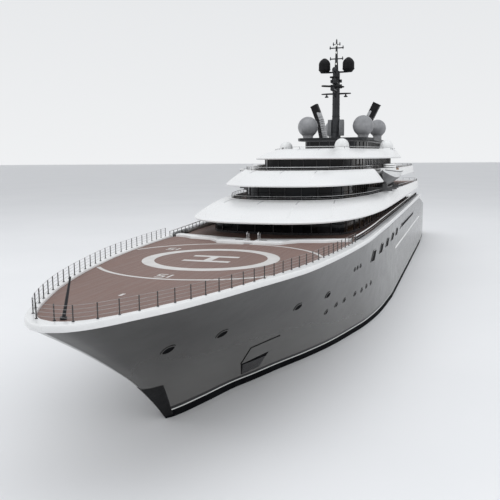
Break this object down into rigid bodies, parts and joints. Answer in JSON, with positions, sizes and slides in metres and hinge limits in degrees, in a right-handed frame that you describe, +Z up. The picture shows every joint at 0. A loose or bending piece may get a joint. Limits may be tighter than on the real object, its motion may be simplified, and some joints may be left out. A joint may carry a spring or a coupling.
{
  "type": "motor yacht, 1:10 scale model",
  "caption": "Large motor yacht afloat at 1:10 scale, with helideck on the foredeck, stepped decks, mast with globes, and underwater gear.",
  "frame": {"origin": "amidships on the centreline at the waterline", "axes": "+X forward to the bow, +Y to port, +Z up"},
  "size_m": [13.511, 2.2668, 4.2227],
  "materials": {
    "hull_paint": "gloss grey",
    "white_paint": "gloss white",
    "deck_brown": "matt brown deck",
    "dark_glass": "black tinted glazing that shows no inside",
    "mast_grey": "satin anthracite",
    "dome_grey": "satin grey",
    "black_paint": "satin black",
    "bronze": "polished bronze",
    "steel": "brushed"
  },
  "bodies": {
    "ship": {"hull": "hull_paint", "bulwark_cap": "white_paint", "foredeck": "deck_brown", "deck_coaming": "white_paint", "main_deck": "deck_brown", "deckhouse_1": "dark_glass", "deck_shell_a": "white_paint", "deckhouse_2": "dark_glass", "deck_shell_b": "white_paint", "deckhouse_3": "dark_glass", "deck_shell_c": "white_paint", "sun_deck_house": "dark_glass", "radar_deck": "mast_grey", "dome_fwd_port": "dome_grey", "dome_fwd_stbd": "dome_grey", "dome_aft_port": "dome_grey", "dome_aft_stbd": "dome_grey", "dome_white_centre": "white_paint", "dome_white_port": "white_paint", "dome_white_stbd": "white_paint", "mast": "mast_grey", "topmast": "mast_grey", "funnel_port": "black_paint", "funnel_stbd": "black_paint", "aft_deck": "white_paint", "swim_platform": "white_paint", "jackstaff": "mast_grey"},
    "drive_port": {"shaft_port": "steel", "propeller_port": "bronze"},
    "drive_stbd": {"shaft_stbd": "steel", "propeller_stbd": "bronze"},
    "rudder_port": {"rudder_port": "hull_paint"},
    "rudder_stbd": {"rudder_stbd": "hull_paint"},
    "stabiliser_port": {"stabiliser_port": "hull_paint"},
    "stabiliser_stbd": {"stabiliser_stbd": "hull_paint"},
    "radar_main": {"radar_scanner_main": "mast_grey"},
    "radar_upper": {"radar_scanner_upper": "mast_grey"},
    "davit_stage_port": {"davit_stage_port": "steel"},
    "davit_stage_stbd": {"davit_stage_stbd": "steel"},
    "boat_davit_port": {"davit_port": "steel", "tender_port": "white_paint"},
    "boat_davit_stbd": {"davit_stbd": "steel", "tender_stbd": "white_paint"},
    "stern_door": {"stern_door": "hull_paint"}
  },
  "joints": [
    {"name": "propeller_port_spin", "type": "hinge", "parent": "ship", "child": "drive_port", "pos_m": [-5.56, 0.42, -0.375], "axis": [1, 0, 0], "continuous": true},
    {"name": "propeller_stbd_spin", "type": "hinge", "parent": "ship", "child": "drive_stbd", "pos_m": [-5.56, -0.42, -0.375], "axis": [1, 0, 0], "continuous": true},
    {"name": "rudder_port_turn", "type": "hinge", "parent": "ship", "child": "rudder_port", "pos_m": [-5.88, 0.42, -0.21], "axis": [0, 0, 1], "range_deg": [-35, 35]},
    {"name": "rudder_stbd_turn", "type": "hinge", "parent": "ship", "child": "rudder_stbd", "pos_m": [-5.88, -0.42, -0.21], "axis": [0, 0, 1], "range_deg": [-35, 35]},
    {"name": "stabiliser_port_tilt", "type": "hinge", "parent": "ship", "child": "stabiliser_port", "pos_m": [0.2, 0.915, -0.435], "axis": [0, 0.788, -0.6157], "range_deg": [-25, 25]},
    {"name": "stabiliser_stbd_tilt", "type": "hinge", "parent": "ship", "child": "stabiliser_stbd", "pos_m": [0.2, -0.915, -0.435], "axis": [0, -0.788, -0.6157], "range_deg": [-25, 25]},
    {"name": "radar_main_spin", "type": "hinge", "parent": "ship", "child": "radar_main", "pos_m": [-0.61, 0, 2.835], "axis": [0, 0, 1], "continuous": true},
    {"name": "radar_upper_spin", "type": "hinge", "parent": "ship", "child": "radar_upper", "pos_m": [-0.735, 0, 2.95], "axis": [0, 0, 1], "continuous": true},
    {"name": "davit_port_stage_slide", "type": "slide", "parent": "ship", "child": "davit_stage_port", "axis": [0, 1, 0], "range_m": [0, 0.175]},
    {"name": "davit_stbd_stage_slide", "type": "slide", "parent": "ship", "child": "davit_stage_stbd", "axis": [0, -1, 0], "range_m": [0, 0.175]},
    {"name": "davit_port_slide", "type": "slide", "parent": "davit_stage_port", "child": "boat_davit_port", "axis": [0, 1, 0], "range_m": [0, 0.175]},
    {"name": "davit_stbd_slide", "type": "slide", "parent": "davit_stage_stbd", "child": "boat_davit_stbd", "axis": [0, -1, 0], "range_m": [0, 0.175]},
    {"name": "stern_door_fold", "type": "hinge", "parent": "ship", "child": "stern_door", "pos_m": [-6.373, 0, 0.205], "axis": [0, -1, 0], "range_deg": [0, 90]}
  ],
  "couplings": [
    {"joint": "davit_port_stage_slide", "follows": "davit_port_slide", "ratio": 1},
    {"joint": "davit_stbd_stage_slide", "follows": "davit_stbd_slide", "ratio": 1},
    {"joint": "rudder_stbd_turn", "follows": "rudder_port_turn", "ratio": 1}
  ]
}
